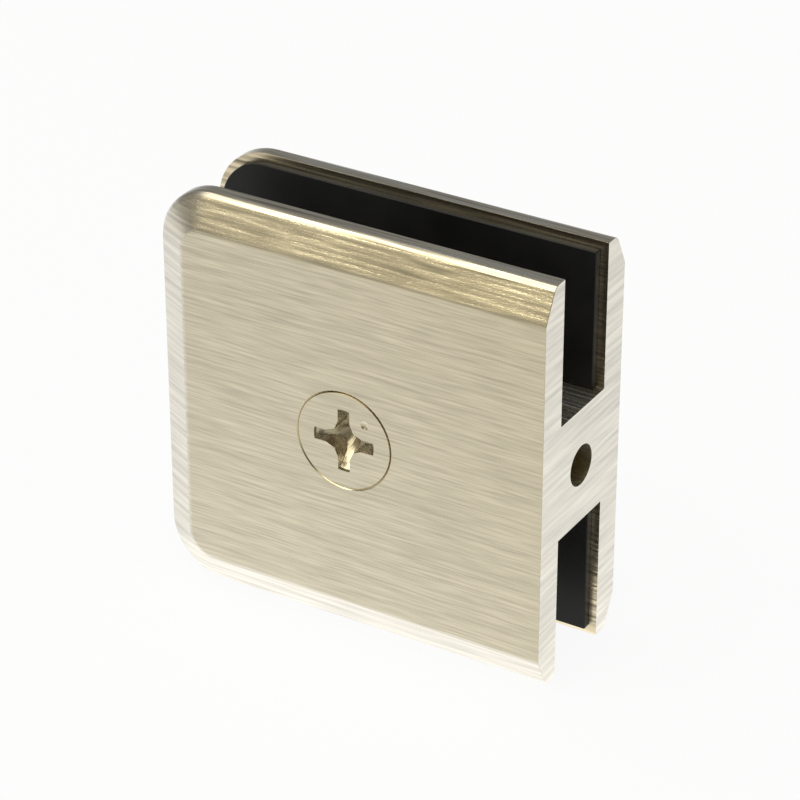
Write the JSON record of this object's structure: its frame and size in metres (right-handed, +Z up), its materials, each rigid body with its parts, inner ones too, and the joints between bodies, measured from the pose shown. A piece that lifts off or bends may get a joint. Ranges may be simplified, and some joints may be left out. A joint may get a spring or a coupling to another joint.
{
  "type": "glass panel clamp",
  "caption": "Bevelled square wall clamp for a notched glass panel: rear plate with a bored web, loose front plate drawn in by a countersunk screw, soft gaskets inside the jaws.",
  "frame": {"origin": "centre of the wall hole in the wall face", "axes": "+X out of the clamp into the wall, along the glass panel; +Y from the front plate to the rear plate, through the glass; +Z up"},
  "size_m": [0.0508, 0.018, 0.0508],
  "materials": {
    "plated_brass": "brushed nickel plate, warm, with long fine brush lines",
    "plated_screw": "brushed nickel on the head's face, smooth in the recess",
    "black_gasket": "matte black, soft"
  },
  "bodies": {
    "base": {"base_body": "plated_brass", "rear_gasket": "black_gasket"},
    "cover": {"front_plate": "plated_brass", "front_gasket": "black_gasket"},
    "screw": {"clamp_screw": "plated_screw"}
  },
  "joints": [
    {"name": "plate_slide", "type": "slide", "parent": "base", "child": "cover", "axis": [0, -1, 0], "range_m": [0, 0.012]},
    {"name": "screw_turn", "type": "hinge", "parent": "cover", "child": "screw", "pos_m": [-0.0254, 0, 0], "axis": [0, -1, 0], "range_deg": [0, 4320]}
  ],
  "couplings": [
    {"joint": "screw_turn", "follows": "plate_slide", "rad_per_m": 6283.2}
  ]
}
